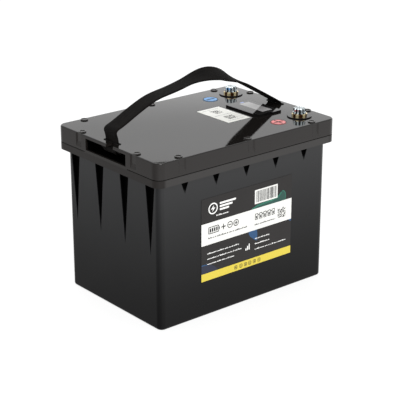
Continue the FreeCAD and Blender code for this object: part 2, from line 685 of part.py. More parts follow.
def cell_clamps():
    """The end plates and the two bands that hold the cells together."""
    half = "(2 * cell_width + 1.5 * cell_gap)"
    for side, name in ((-1, "front"), (1, "rear")):
        middle = "%d * (%s + end_plate / 2)" % (side, half)
        size = ("cell_length", "end_plate", "cell_height")
        keep(centred_block(size, ("cell_x", middle, "cell_level")), "end_plate_" + name)
    inner = ("cell_length", "2 * %s + 2 * end_plate" % half)
    outer = tuple(side + " + 2 * band_thickness" for side in inner)
    bands = []
    for level in ("band_low", "band_high"):
        loop = centred_block(outer + ("band_width",), ("cell_x", 0, level))
        middle = centred_block(inner + ("band_width + 2 * over",), ("cell_x", 0, level + " - over"))
        bands.append(cut(loop, [middle]))
    keep(group(bands), "compression_bands")


def cell_links():
    """The bars that join the cells in series, the two end lugs, and a nut on every stud."""
    below = POST_LEVEL + " - over"
    bars = []
    for index, side in ((1, -1), (2, 1), (3, -1)):
        x, y = cell_post(index, side)
        middle = y + " + (cell_width + cell_gap) / 2"
        size = ("busbar_width", "cell_width + cell_gap + busbar_width", "busbar_thickness")
        holes = []
        for end in (index, index + 1):
            at = cell_post(end, side) + (below,)
            holes.append(rod("stud_hole", "busbar_thickness + 2 * over", at))
        bars.append(cut(centred_block(size, (x, middle, POST_LEVEL)), holes))
    keep(group(bars), "series_busbars")
    lugs = []
    for index in (1, 4):
        x, y = cell_post(index, 1)
        pad = rod("post_radius", "lug_thickness", (x, y, POST_LEVEL))
        tongue = block(("cell_lug_reach", "cell_lug_width", "lug_thickness"),
                       (x, y + " - cell_lug_width / 2", POST_LEVEL))
        axis_level = POST_LEVEL + " + cell_lug_barrel"
        barrel_at = (x + " + cell_lug_reach", y, axis_level)
        barrel = rod("cell_lug_barrel", "lug_barrel_length", barrel_at, "x")
        eye = rod("stud_hole", "lug_thickness + 2 * over", (x, y, below))
        socket_x = x + " + cell_lug_reach + lug_barrel_length - cable_hole_length"
        socket = rod("cable_hole", "cable_hole_length + over", (socket_x, y, axis_level), "x")
        lugs.append(cut(fuse([pad, tongue, barrel]), [eye, socket]))
    keep(group(lugs), "cell_lugs")
    nuts = []
    for index in range(1, 5):
        for side in (-1, 1):
            under = "lug_thickness" if side == 1 and index in (1, 4) else "busbar_thickness"
            at = cell_post(index, side) + ("%s + %s" % (POST_LEVEL, under),)
            nuts.append(washer("nut_m6_corner", "nut_m6_hole", "nut_m6_height", at, corners=True))
    keep(group(nuts), "cell_nuts")


def management_unit():
    """The divider beside the cells, with the board, its transistors, connector, heatsink and screws."""
    divider = block(("divider_thickness", "divider_width", "cell_height"),
                    ("divider_x", "-divider_width / 2", "cell_level"))
    divider_face = "divider_x + divider_thickness"
    face = "board_x + board_thickness"
    screws = []
    board_holes = []
    divider_holes = []
    for y in ("-pillar_y", "pillar_y"):
        for z in ("board_low + pillar_inset", "board_high - pillar_inset"):
            spacer = rod("pillar_radius", "board_x - (%s)" % divider_face, (divider_face, y, z), "x")
            pin = rod("pin_radius", "%s - divider_x" % face, ("divider_x", y, z), "x")
            screws.append(fuse([spacer, pin, rod("pillar_radius", "pillar_head", (face, y, z), "x")]))
            for holes, plate in ((board_holes, "board"), (divider_holes, "divider")):
                through = plate + "_thickness + 2 * over"
                holes.append(rod("pin_hole", through, (plate + "_x - over", y, z), "x"))
    keep(cut(divider, divider_holes), "divider")
    board = block(("board_thickness", "board_width", "board_high - board_low"),
                  ("board_x", "-board_width / 2", "board_low"))
    keep(cut(board, board_holes), "bms_board")
    keep(group(screws), "bms_screws")
    chips = []
    for column in range(-4, 5):
        for level in ("mosfet_low", "mosfet_high"):
            size = ("mosfet_height", "mosfet_width", "mosfet_length")
            chips.append(block(size, (face, "%d * mosfet_pitch - mosfet_width / 2" % column, level)))
    keep(group(chips), "bms_transistors")
    sink_x = face + " + mosfet_height"
    tall = "sink_high - sink_low"
    sink = [block(("sink_base", "sink_width", tall), (sink_x, "-sink_width / 2", "sink_low"))]
    for column in range(-6, 7):
        y = "%d * fin_pitch - fin_thickness / 2" % column
        fin_low = (sink_x + " + sink_base", y, "sink_low")
        sink.append(block(("fin_height", "fin_thickness", tall), fin_low))
    keep(fuse(sink), "bms_heatsink")
    plug = block(("plug_depth", "plug_width", "plug_height"), (face, "plug_y", "plug_level"))
    keep(plug, "bms_connector")


def foam():
    """The pads that keep the cells still."""
    size = ("cell_length + 2 * foam_overhang", "foam_width", "cell_level - floor")
    keep(centred_block(size, ("cell_x", 0, "floor")), "foam_base")
    size = ("foam_end_thickness", "pad_width", "foam_end_height")
    keep(block(size, ("foam_end_x", "-pad_width / 2", "foam_end_level")), "foam_end")
    size = ("spacer_length", "pad_width", "spacer_height")
    keep(block(size, ("spacer_x", "-pad_width / 2", "floor")), "foam_spacer")


def wiring():
    """The cables inside the case, all held by what they join."""
    crown = dim("lid_top") - dim("lid_plate") - dim("lug_barrel")
    lug_end = dim("terminal_x") - dim("lug_reach") + dim("cable_hole_length")
    cell_top = dim("cell_level") + dim("cell_height")
    post_level = cell_top + dim("post_height") + dim("cell_lug_barrel")
    post_end = dim("cell_x") + dim("post_offset") + dim("cell_lug_reach")
    post_end += dim("lug_barrel_length") - dim("cable_hole_length")
    outer_cell = 1.5 * (dim("cell_width") + dim("cell_gap"))
    side = dim("terminal_y")
    board_face = dim("board_x") + dim("board_thickness")
    board = dim("board_x") + dim("board_thickness") / 2
    edge = dim("board_high")
    radius = dim("cable_radius")
    positive = [
        (post_end, -outer_cell, post_level), (36, -outer_cell, post_level), (56, -side, crown),
        (lug_end, -side, crown),
    ]
    tube("positive_cable", radius, positive, 4)
    drop_x = dim("board_x")
    cell_negative = [
        (post_end, outer_cell, post_level), (drop_x, outer_cell, post_level), (drop_x, outer_cell, edge),
    ]
    tube("cell_negative_cable", radius, cell_negative, 4)
    pack_negative = [
        (board, 30, edge), (board, 30, 172), (50, 46, crown), (64, side, crown), (lug_end, side, crown),
    ]
    tube("pack_negative_cable", radius, pack_negative, 4)
    plug_x = board_face + dim("plug_depth") / 2
    plug_top = dim("plug_level") + dim("plug_height")
    harness = [
        (plug_x, -38, plug_top), (plug_x, -38, 172),
        (18, -37.5, 186.5), (-30, -36, 186.5), (-92, -37.5, 186.5),
    ]
    tube("balance_harness", dim("harness_radius"), harness, 4)
    under = dim("lid_top") - dim("display_board_drop")
    plug_face = board_face + dim("plug_depth")
    middle = dim("plug_level") + dim("plug_height") / 2
    lead = [(80, -8, under), (80, -8, 172), (65, -17, 150), (52, -24, middle), (plug_face, -24, middle)]
    tube("display_lead", dim("wire_radius"), lead, 4)
    start = cell_top + dim("lead_radius") + 0.05
    sensor = [(-26, -30, start), (-8, -30, 174.8), (board, -30, 174.8), (board, -30, edge)]
    tube("temperature_sensor", dim("lead_radius"), sensor, 4)


case()
lid()
gasket()
lid_fasteners()
handle()
display()
terminal("positive", "-terminal_y")
terminal("negative", "terminal_y")
labels()
cells()
cell_clamps()
cell_links()
management_unit()
foam()
wiring()
doc.recompute()

for item in doc.Objects:
    if "Invalid" in item.State or "Error" in item.State:
        raise RuntimeError("%s failed" % item.Label)
os.makedirs("parts", exist_ok=True)
for item in SUB_PARTS:
    if item.Shape.isNull() or not item.Shape.isValid():
        raise RuntimeError("%s has no valid shape" % item.Label)
    item.Shape.exportStep(os.path.join("parts", item.Label + ".step"))
print(len(SUB_PARTS), "sub-parts")
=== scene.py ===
import json
import math
import random
import bmesh
import bpy
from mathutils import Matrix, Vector


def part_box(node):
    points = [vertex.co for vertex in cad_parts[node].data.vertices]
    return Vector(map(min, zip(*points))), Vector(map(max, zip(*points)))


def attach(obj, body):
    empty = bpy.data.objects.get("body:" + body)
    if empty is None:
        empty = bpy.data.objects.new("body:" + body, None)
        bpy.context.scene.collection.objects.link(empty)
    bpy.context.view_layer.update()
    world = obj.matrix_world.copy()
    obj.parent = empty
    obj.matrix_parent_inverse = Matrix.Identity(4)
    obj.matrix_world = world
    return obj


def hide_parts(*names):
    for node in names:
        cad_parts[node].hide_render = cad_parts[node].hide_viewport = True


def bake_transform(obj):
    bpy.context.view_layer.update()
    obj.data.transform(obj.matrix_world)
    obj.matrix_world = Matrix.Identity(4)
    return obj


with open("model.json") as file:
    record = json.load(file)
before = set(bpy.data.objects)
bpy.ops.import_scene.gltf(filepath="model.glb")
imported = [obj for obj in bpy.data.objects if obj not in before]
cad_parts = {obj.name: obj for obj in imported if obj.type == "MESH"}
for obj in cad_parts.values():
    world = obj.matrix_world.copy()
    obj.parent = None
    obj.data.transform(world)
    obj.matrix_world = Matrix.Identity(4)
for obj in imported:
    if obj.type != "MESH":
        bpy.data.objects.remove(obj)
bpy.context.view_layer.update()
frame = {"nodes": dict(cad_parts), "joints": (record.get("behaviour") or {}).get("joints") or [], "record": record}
MM = 0.001
MOUNTS = {mount["name"]: mount for mount in frame["record"]["mounts"]}
LID_LOW, LID_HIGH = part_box("lid")

# Heights of the handle's pivot on the lid, of the flange's underside, of the seam under the lid and
# of the top of the end pockets.
LID_TOP = frame["joints"][0]["pos_m"][2]
FLANGE_LOW = MOUNTS["hold_down_front"]["pos_m"][2]
SEAM = LID_LOW.z
POCKET_HIGH = 0.1927

# Half length, half width and corner radius of the case's wall and of the lid.
CASE_OUTLINE = (0.12225, -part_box("front_label")[1].y, 0.007)
LID_OUTLINE = (LID_HIGH.x, LID_HIGH.y, 0.010)

TERMINAL = [(low + high) / 2 for low, high in zip(*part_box("negative_terminal_disc"))]

# Painted shade deep in a recess: its near-black colour, and the share of the gloss that is left there.
HOLLOW_PAINTED_SHADE = (0.0006, 0.0006, 0.0006)
HOLLOW_SHADE_GLOSS_SHARE = 0.04

GRAIN_HEIGHT = 0.0001
TWILL_WIDTH = 0.0029
WEFT_PITCH = 0.0015
WARP_PITCH = 0.0012


# ---------------------------------------------------------------- materials

class Nodes:
    """A small helper for building a material's node tree."""

    def __init__(self, name):
        self.material = bpy.data.materials.new(name)
        self.material.use_nodes = True
        self.tree = self.material.node_tree
        self.shader = self.tree.nodes["Principled BSDF"]
        self.place = self.add("ShaderNodeTexCoord")

    def add(self, kind, **settings):
        node = self.tree.nodes.new(kind)
        for key, value in settings.items():
            setattr(node, key, value)
        return node

    def join(self, source, target):
        self.tree.links.new(source, target)

    def fill(self, socket, value):
        """Gives a socket a plain value, or joins another socket to it."""
        if isinstance(value, bpy.types.NodeSocket):
            self.join(value, socket)
        else:
            socket.default_value = value

    def put(self, node, **values):
        for key, value in values.items():
            self.fill(node.inputs[key.replace("_", " ")], value)

    def finish(self, **values):
        self.put(self.shader, **values)
        return self.material

    def noise(self, scale, detail=4.0, stretch=None, where="Object"):
        source = self.place.outputs[where]
        if stretch:
            mapping = self.add("ShaderNodeMapping")
            mapping.inputs["Scale"].default_value = stretch
            self.join(source, mapping.inputs["Vector"])
            source = mapping.outputs["Vector"]
        node = self.add("ShaderNodeTexNoise")
        self.put(node, Vector=source, Scale=scale, Detail=detail)
        return node.outputs["Fac"]

    def ramp(self, source, low, high, start=0.0, end=1.0):
        """Maps a value from start..end onto low..high."""
        node = self.add("ShaderNodeMapRange")
        self.put(node, Value=source, From_Min=start, From_Max=end, To_Min=low, To_Max=high)
        return node.outputs["Result"]

    def blend(self, factor, first, second):
        """Mixes two colours: the first where the factor is 0, the second where it is 1."""
        node = self.add("ShaderNodeMix", data_type="RGBA")
        self.join(factor, node.inputs[0])
        for index, colour in ((6, first), (7, second)):
            if not isinstance(colour, bpy.types.NodeSocket):
                colour = (*colour, 1)
            self.fill(node.inputs[index], colour)
        return node.outputs[2]

    def math(self, operation, first, second=None):
        node = self.add("ShaderNodeMath", operation=operation)
        self.fill(node.inputs[0], first)
        if second is not None:
            self.fill(node.inputs[1], second)
        return node.outputs[0]

    def bump(self, source, strength, distance, after=None):
        node = self.add("ShaderNodeBump")
        self.put(node, Height=source, Strength=strength, Distance=distance)
        if after is not None:
            self.join(after, node.inputs["Normal"])
        return node.outputs["Normal"]

    def axes(self, where="Object"):
        """The X, Y and Z coordinates, in metres, or the U and V of a UV map."""
        node = self.add("ShaderNodeSeparateXYZ")
        self.join(self.place.outputs[where], node.inputs[0])
        return node.outputs["X"], node.outputs["Y"], node.outputs["Z"]

    def depth(self, outline):
        """How far a point lies inside the upright walls of a rounded rectangle."""
        half_x, half_y, radius = outline
        x, y, _ = self.axes()
        over_x = self.math("SUBTRACT", self.math("ABSOLUTE", x), half_x - radius)
        over_y = self.math("SUBTRACT", self.math("ABSOLUTE", y), half_y - radius)
        square_x = self.math("POWER", self.math("MAXIMUM", over_x, 0.0), 2.0)
        square_y = self.math("POWER", self.math("MAXIMUM", over_y, 0.0), 2.0)
        corner = self.math("SQRT", self.math("ADD", square_x, square_y))
        flat = self.math("MINIMUM", self.math("MAXIMUM", over_x, over_y), 0.0)
        return self.math("SUBTRACT", radius, self.math("ADD", corner, flat))

    def inside(self, middle, half, edge=0.0002):
        """A mask: 1 inside an upright box about a point, 0 outside it, in X and Y."""
        x, y, _ = self.axes()
        sides = []
        for value, centre, reach in ((x, middle[0], half[0]), (y, middle[1], half[1])):
            away = self.math("ABSOLUTE", self.math("SUBTRACT", value, centre))
            sides.append(self.ramp(away, 1, 0, reach - edge, reach + edge))
        return self.math("MULTIPLY", *sides)

    def ends(self, share, half_length):
        """1 along the sides, and a smaller share on the two end walls: painted shade that dims their gloss."""
        x, _, _ = self.axes()
        return self.ramp(self.math("ABSOLUTE", x), 1, share, half_length - 0.004, half_length - 0.0006)

    def upward(self):
        """How far the surface faces up: 1 on a level top, 0 on an upright wall."""
        node = self.add("ShaderNodeSeparateXYZ")
        self.join(self.add("ShaderNodeNewGeometry").outputs["Normal"], node.inputs[0])
        return node.outputs["Z"]

    def painted_reflection_streaks(self, count, phase):
        """Painted reflection streaks round the upright axis of each terminal, from -1 where dark to 1 where
        bright.
        """
        x, y, _ = self.axes()
        sideways = self.math("SUBTRACT", y, self.math("MULTIPLY", self.math("SIGN", y), TERMINAL[1]))
        turn = self.math("ARCTAN2", sideways, self.math("SUBTRACT", x, TERMINAL[0]))
        return self.math("COSINE", self.math("ADD", self.math("MULTIPLY", turn, count), phase))


def moulded(name, colour, rough, grain, level):
    """Black moulded plastic: fine grain and faint smears in the gloss."""
    n = Nodes(name)
    smear = n.noise(9, 5, stretch=(1, 2.4, 3))
    fine = n.noise(1500, 3)
    base = n.blend(n.noise(26, 3), colour, tuple(c * 1.18 for c in colour))
    gloss = n.ramp(smear, rough - 0.06, rough + 0.06, 0.3, 0.7)
    roughness = n.math("ADD", gloss, n.ramp(fine, -0.02, 0.02))
    return n.finish(Base_Color=base, Roughness=roughness, Specular_IOR_Level=level,
                    Normal=n.bump(fine, grain, GRAIN_HEIGHT))


def case_shell(name):
    """The case: satin black, with painted shade that darkens its colour and gloss towards the foot and dims the
    gloss of its end walls, glossier on the flange, and painted black shade in the recesses.
    """
    n = Nodes(name)
    _, _, z = n.axes()
    smear = n.noise(9, 5, stretch=(1, 2.4, 3))
    fine = n.noise(1500, 3)
    # Painted shade: the wall's colour and gloss darken from the flange down to the foot.
    up = n.math("POWER", n.ramp(z, 0, 1, 0.0, FLANGE_LOW), 1.6)
    flange = n.ramp(z, 0, 1, FLANGE_LOW - 0.0003, FLANGE_LOW + 0.0003)
    wall_with_painted_shade = n.blend(up, CASE_FOOT_PAINTED_SHADE, CASE_TOP_PAINTED_LIGHT)
    # Painted shade: recesses behind the wall turn near black, with little gloss.
    behind_wall = n.ramp(n.depth(CASE_OUTLINE), 0, 1, 0.0003, 0.0014)
    above_foot = n.ramp(z, 0, 1, 0.003, 0.005)
    painted_hollow_shade = n.math("MULTIPLY", behind_wall, above_foot)
    base = n.blend(painted_hollow_shade, n.blend(flange, wall_with_painted_shade, SKIRT), HOLLOW_PAINTED_SHADE)
    level = n.math("ADD", n.ramp(up, *CASE_GLOSS_PAINTED_SHADE), n.ramp(flange, 0, FLANGE_GAIN))
    # Painted shade on the end walls dims the gloss there.
    level = n.math("MULTIPLY", level, n.ends(FLANGE_END_PAINTED_SHADE, LID_OUTLINE[0]))
    level = n.math("MULTIPLY", level, n.ends(CASE_END_PAINTED_SHADE, CASE_OUTLINE[0]))
    level = n.math("MULTIPLY", level, n.ramp(painted_hollow_shade, 1, HOLLOW_SHADE_GLOSS_SHARE))
    gloss = n.math("ADD", n.ramp(smear, 0.27, 0.37, 0.3, 0.7), n.ramp(fine, -0.02, 0.02))
    gloss = n.math("ADD", gloss, n.ramp(painted_hollow_shade, 0, 0.4))
    return n.finish(Base_Color=base, Roughness=gloss, Specular_IOR_Level=level,
                    Normal=n.bump(fine, 0.16, GRAIN_HEIGHT))


def lid_shell(name):
    """The lid: polished on top, satin on the skirt, with painted black shade in the pockets and in the seam and
    painted shade dimming the gloss of the skirt's end walls.
    """
    n = Nodes(name)
    _, _, z = n.axes()
    smear = n.noise(6, 5, stretch=(1, 2.4, 3))
    fine = n.noise(1500, 3)
    top = n.ramp(z, 0, 1, LID_TOP - 0.0016, LID_TOP - 0.0002)
    depth = n.depth(LID_OUTLINE)
    # Painted shade: the pockets and the seam turn near black, with little gloss.
    below_rim = n.ramp(z, 1, 0, POCKET_HIGH, POCKET_HIGH + 0.0004)
    pocket = n.math("MULTIPLY", n.ramp(depth, 0, 1, 0.0018, 0.0032), below_rim)
    below_skirt = n.ramp(z, 1, 0, SEAM + 0.0007, SEAM + 0.0009)
    seam = n.math("MULTIPLY", n.ramp(depth, 0, 1, 0.0002, 0.0005), below_skirt)
    painted_hollow_shade = n.math("MAXIMUM", pocket, seam)
    base = n.blend(painted_hollow_shade, n.blend(top, SKIRT, LID_FACE), HOLLOW_PAINTED_SHADE)
    level = n.math("MULTIPLY", n.ramp(top, *LID_LEVEL), n.ramp(painted_hollow_shade, 1, HOLLOW_SHADE_GLOSS_SHARE))
    # Painted shade on the skirt's end walls dims the gloss there; the top keeps its gloss.
    side = n.math("MAXIMUM", top, n.ends(SKIRT_END_PAINTED_SHADE, LID_OUTLINE[0]))
    level = n.math("MULTIPLY", level, side)
    gloss = n.math("ADD", n.ramp(top, 0.2, 0.035), n.ramp(smear, -0.01, 0.03, 0.3, 0.7))
    gloss = n.math("ADD", gloss, n.ramp(painted_hollow_shade, 0, 0.5))
    return n.finish(Base_Color=base, Roughness=gloss, Specular_IOR_Level=level,
                    Normal=n.bump(fine, 0.04, GRAIN_HEIGHT))


def trim(name):
    """The glossy black trim of the display and the terminal discs: painted shade dims the gloss of its sides, so
    it is bright on top and deep black on its sides.
    """
    n = Nodes(name)
    fine = n.noise(1500, 3)
    # Painted shade: the gloss level follows how far the surface faces up.
    level = n.ramp(n.upward(), 0.05, 0.42, 0.5, 0.9)
    base = n.blend(n.noise(26, 3), (0.004, 0.0037, 0.0036), (0.006, 0.0055, 0.0053))
    return n.finish(Base_Color=base, Roughness=n.ramp(fine, 0.05, 0.09), Specular_IOR_Level=level,
                    Normal=n.bump(fine, 0.03, GRAIN_HEIGHT))


def metal_with_painted_streaks(name, painted_highlight, dark, rough, count, phase, width=(0.0, 0.7)):
    """Turned or plated metal with painted highlights and painted dark reflections in stretches round its axis, and
    fine turning marks.
    """
    n = Nodes(name)
    marks = n.noise(420, 4, stretch=(1, 1, 7))
    # Painted reflections: bright and dark streaks round the terminal axis, weaker on faces that look up.
    painted_streaks = n.math("MULTIPLY", n.painted_reflection_streaks(count, phase), n.ramp(n.upward(), 1, 0.4, 0.5, 0.9))
    painted_streak_ripple = n.math("ADD", painted_streaks, n.ramp(n.noise(160, 3), -0.5, 0.5, 0.3, 0.7))
    # The base colour carries the painted reflection: the dark colour where the streaks are dark, the highlight
    # colour where they are bright.
    base = n.blend(n.ramp(painted_streak_ripple, 0, 1, *width), dark, painted_highlight)
    roughness = n.ramp(marks, rough - 0.05, rough + 0.08, 0.3, 0.7)
    return n.finish(Base_Color=base, Metallic=1.0, Roughness=roughness, Normal=n.bump(marks, 0.2, 0.00005))


def metal(name, colour, rough):
    """Plated or plain metal: turned marks, small stains and uneven gloss."""
    n = Nodes(name)
    marks = n.noise(420, 4, stretch=(1, 1, 7))
    stain = n.noise(180, 5)
    base = n.blend(n.ramp(stain, 0, 1, 0.4, 0.75), colour, tuple(c * 0.8 for c in colour))
    roughness = n.ramp(marks, rough - 0.06, rough + 0.1, 0.3, 0.7)
    return n.finish(Base_Color=base, Metallic=1.0, Roughness=roughness, Normal=n.bump(marks, 0.25, 0.00005))


def webbing(name):
    """Woven polypropylene webbing, with ribs across it and a twill that runs both ways from the middle."""
    n = Nodes(name)
    along, across, _ = n.axes("UV")
    fold = n.math("PINGPONG", across, TWILL_WIDTH)
    slanted = n.math("ADD", along, n.math("MULTIPLY", fold, 0.6))
    weft = n.math("SINE", n.math("MULTIPLY", slanted, 2 * math.pi / WEFT_PITCH))
    warp = n.math("SINE", n.math("MULTIPLY", across, 2 * math.pi / WARP_PITCH))
    weave = n.math("MULTIPLY", n.ramp(weft, 0, 1, -1, 1), n.ramp(warp, 0.35, 1, -1, 1))
    fuzz = n.noise(2200, 3, where="UV")
    wear = n.noise(60, 4, where="UV")
    dark = n.blend(n.ramp(weave, 0, 1), (0.0012, 0.001, 0.0009), (0.006, 0.0048, 0.0042))
    base = n.blend(n.ramp(wear, 0, 0.35, 0.4, 0.8), dark, (0.0085, 0.007, 0.006))
    normal = n.bump(fuzz, 0.3, 0.0001, n.bump(weave, 0.75, 0.0003))
    roughness = n.ramp(weave, 0.85, 0.6)
    return n.finish(Base_Color=base, Roughness=roughness, Specular_IOR_Level=0.07, Normal=normal)


def printed(name, colour, rough=0.32, fade=0.06):
    """Printed film or paper: a faint fibre, dots of uneven ink, and a slight sheen."""
    n = Nodes(name)
    ink = n.noise(900, 4)
    cloud = n.noise(35, 4)
    base = n.blend(n.ramp(cloud, 0, 1, 0.35, 0.7), colour, tuple(max(c * (1 - 2 * fade), 0) for c in colour))
    roughness = n.ramp(ink, rough - 0.05, rough + 0.08)
    return n.finish(Base_Color=base, Roughness=roughness, Specular_IOR_Level=0.32,
                    Normal=n.bump(ink, 0.08, 0.00005))


def coated(name, colour, rough=0.4, bumps=700, strength=0.15):
    """A plain painted, rubbery or moulded surface with a fine texture."""
    n = Nodes(name)
    grain = n.noise(bumps, 4)
    patch = n.noise(40, 3)
    base = n.blend(patch, tuple(c * 0.85 for c in colour), tuple(min(c * 1.15, 1) for c in colour))
    roughness = n.ramp(grain, rough - 0.05, rough + 0.08)
    return n.finish(Base_Color=base, Roughness=roughness, Normal=n.bump(grain, strength, 0.0002))


def display_film(name):
    """The film over the display: dark gloss, a grey window over the LCD, a lamp spot and a printed frame."""
    n = Nodes(name)
    base = (0.011, 0.0105, 0.0105)
    low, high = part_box("display_window")
    middle = (low + high) / 2
    half = (high - low) / 2
    shade = base
    for inset, tone in ((0.0016, (0.002, 0.002, 0.002)), (0.0021, (0.05, 0.05, 0.05)), (0.0026, base)):
        shade = n.blend(n.inside(middle, (half.x - inset, half.y - inset), 0.0001), shade, tone)
    for node, tone in (("display_lcd", (0.33, 0.325, 0.325)), ("display_lamp", (0.24, 0.30, 0.62))):
        low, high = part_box(node)
        spot = n.inside((low + high) / 2, [side / 2 for side in (high - low)])
        shade = n.blend(spot, shade, tone)
    fine = n.noise(900, 3)
    return n.finish(Base_Color=shade, Roughness=n.ramp(fine, 0.035, 0.06), Normal=n.bump(fine, 0.02, 0.0001))


SKIRT = (0.0125, 0.0106, 0.0097)
LID_FACE = (0.0075, 0.0066, 0.006)
# Painted light and shade on the case wall: a lighter, bluish colour up at the flange, a darker one at the foot,
# and a gloss level that rises from foot to flange.
CASE_TOP_PAINTED_LIGHT = (0.0085, 0.0088, 0.0098)
CASE_FOOT_PAINTED_SHADE = (0.0035, 0.0034, 0.0036)
CASE_GLOSS_PAINTED_SHADE = (0.13, 0.46)
FLANGE_GAIN = 0.08
LID_LEVEL = (0.34, 0.44)
# Painted shade on the end walls: the share of the gloss left there on the case, the flange and the lid's skirt.
CASE_END_PAINTED_SHADE = 0.4
FLANGE_END_PAINTED_SHADE = 0.5
SKIRT_END_PAINTED_SHADE = 0.45
# Zinc and brass: each a painted highlight colour and a painted dark reflection colour, tinted like the metal.
ZINC_PAINTED_REFLECTIONS = ((0.84, 0.93, 0.96), (0.012, 0.02, 0.026))
BRASS_PAINTED_REFLECTIONS = ((1.0, 0.86, 0.50), (0.07, 0.026, 0.006))
MATERIALS = {
    "case_plastic": case_shell("case_plastic"),
    "lid_plastic": lid_shell("lid_plastic"),
    "cap_plastic": moulded("cap_plastic", SKIRT, 0.16, 0.05, level=0.4),
    "rubber_seal": coated("rubber_seal", (0.02, 0.02, 0.02), 0.7),
    "webbing": webbing("webbing"),
    "strap_plastic": moulded("strap_plastic", (0.003, 0.0027, 0.0027), 0.5, 0.2, level=0.08),
    "steel": metal("steel", (0.55, 0.56, 0.58), 0.3),
    # The streak count and phase set where the painted highlights and dark reflections fall round each terminal.
    "zinc": metal_with_painted_streaks("zinc", *ZINC_PAINTED_REFLECTIONS, 0.1, 10, math.radians(37), (-0.5, 0.5)),
    "brass": metal_with_painted_streaks("brass", *BRASS_PAINTED_REFLECTIONS, 0.14, 7, math.radians(-41), (-0.3, 0.6)),
    "copper": metal("copper", (0.72, 0.42, 0.3), 0.25),
    "bezel_plastic": trim("bezel_plastic"),
    "window": display_film("window"),
    "lcd": coated("lcd", (0.30, 0.31, 0.32), 0.15, 2000, 0.03),
    "lamp": coated("lamp", (0.16, 0.24, 0.6), 0.15, 2000, 0.03),
    "circuit": coated("circuit", (0.03, 0.16, 0.08), 0.35),
    "front_print": printed("front_print", (0.0115, 0.0097, 0.0092), 0.42),
    "top_print": printed("top_print", (0.80, 0.80, 0.76), 0.5, 0.02),
    "plus_print": printed("plus_print", (0.72, 0.19, 0.19)),
    "minus_print": printed("minus_print", (0.13, 0.36, 0.72)),
    "cell_wrap": coated("cell_wrap", (0.05, 0.12, 0.42), 0.35, 300, 0.1),
    "aluminium": metal("aluminium", (0.72, 0.73, 0.75), 0.35),
    "board_sheet": coated("board_sheet", (0.3, 0.36, 0.17), 0.5),
    "chip_plastic": coated("chip_plastic", (0.02, 0.02, 0.02), 0.5),
    "connector_plastic": coated("connector_plastic", (0.75, 0.72, 0.62), 0.45),
    "foam": coated("foam", (0.03, 0.03, 0.03), 0.95, 900, 0.5),
    "cable_red": coated("cable_red", (0.5, 0.02, 0.02), 0.5),
    "cable_black": coated("cable_black", (0.015, 0.015, 0.015), 0.5),
    "cable_white": coated("cable_white", (0.7, 0.7, 0.66), 0.5),
}
INK = {
    "white_ink": printed("white_ink", (0.86, 0.86, 0.84), 0.36, 0.01),
    "band_white": printed("band_white", (0.76, 0.76, 0.73), 0.36, 0.01),
    "dark_ink": printed("dark_ink", (0.014, 0.0135, 0.0145), 0.45),
    "sign_ink": coated("sign_ink", (0.004, 0.004, 0.005), 0.6),
    "yellow_ink": printed("yellow_ink", (0.66, 0.53, 0.06), 0.36, 0.02),
    "green_ink": printed("green_ink", (0.02, 0.16, 0.105), 0.4),
    "teal_ink": printed("teal_ink", (0.016, 0.07, 0.055), 0.4),
    "blue_ink": printed("blue_ink", (0.02, 0.075, 0.18), 0.4),
    "dusk_ink": printed("dusk_ink", (0.018, 0.022, 0.042), 0.4),
    "grey_ink": printed("grey_ink", (0.35, 0.35, 0.35), 0.4),
}

for entry in frame["record"]["subparts"]:
    node = frame["nodes"][entry["node"]]
    node.data.materials.clear()
    node.data.materials.append(MATERIALS[entry["material_slot"]])


# ---------------------------------------------------------------- mesh helpers

def make_piece(name, bm, material, body="root"):
    """Turns a bmesh into a piece that rides on a body."""
    bmesh.ops.recalc_face_normals(bm, faces=bm.faces)
    mesh = bpy.data.meshes.new(name)
    bm.to_mesh(mesh)
    bm.free()
    obj = bpy.data.objects.new(name, mesh)
    bpy.context.scene.collection.objects.link(obj)
    mesh.materials.append(material)
    if body:
        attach(obj, body)
    return obj


def circle(u, v, radius, count=40, first=0.0, last=2 * math.pi):
    """Points round a circle or part of one."""
    whole = abs(last - first - 2 * math.pi) < 1e-6
    steps = count if whole else count - 1
    return [(u + radius * math.cos(first + (last - first) * i / steps),
             v + radius * math.sin(first + (last - first) * i / steps)) for i in range(count)]


def rounded(u0, v0, u1, v1, radius=0.0):
    """The outline of a rectangle, with rounded corners if it has a radius."""
    if radius <= 0:
        return [(u0, v0), (u1, v0), (u1, v1), (u0, v1)]
    corners = [(u1 - radius, v0 + radius, -90), (u1 - radius, v1 - radius, 0),
               (u0 + radius, v1 - radius, 90), (u0 + radius, v0 + radius, 180)]
    points = []
    for u, v, start in corners:
        points += circle(u, v, radius, 7, math.radians(start), math.radians(start + 90))
    return points


def ribbon(points, width):
    """A band of one width along a line of points."""
    left = []
    right = []
    for i, point in enumerate(points):
        before = Vector(points[max(i - 1, 0)])
        after = Vector(points[min(i + 1, len(points) - 1)])
        way = (after - before).normalized()
        side = Vector((-way.y, way.x)) * width / 2
        left.append(tuple(Vector(point) + side))
        right.append(tuple(Vector(point) - side))
    return left + right[::-1]


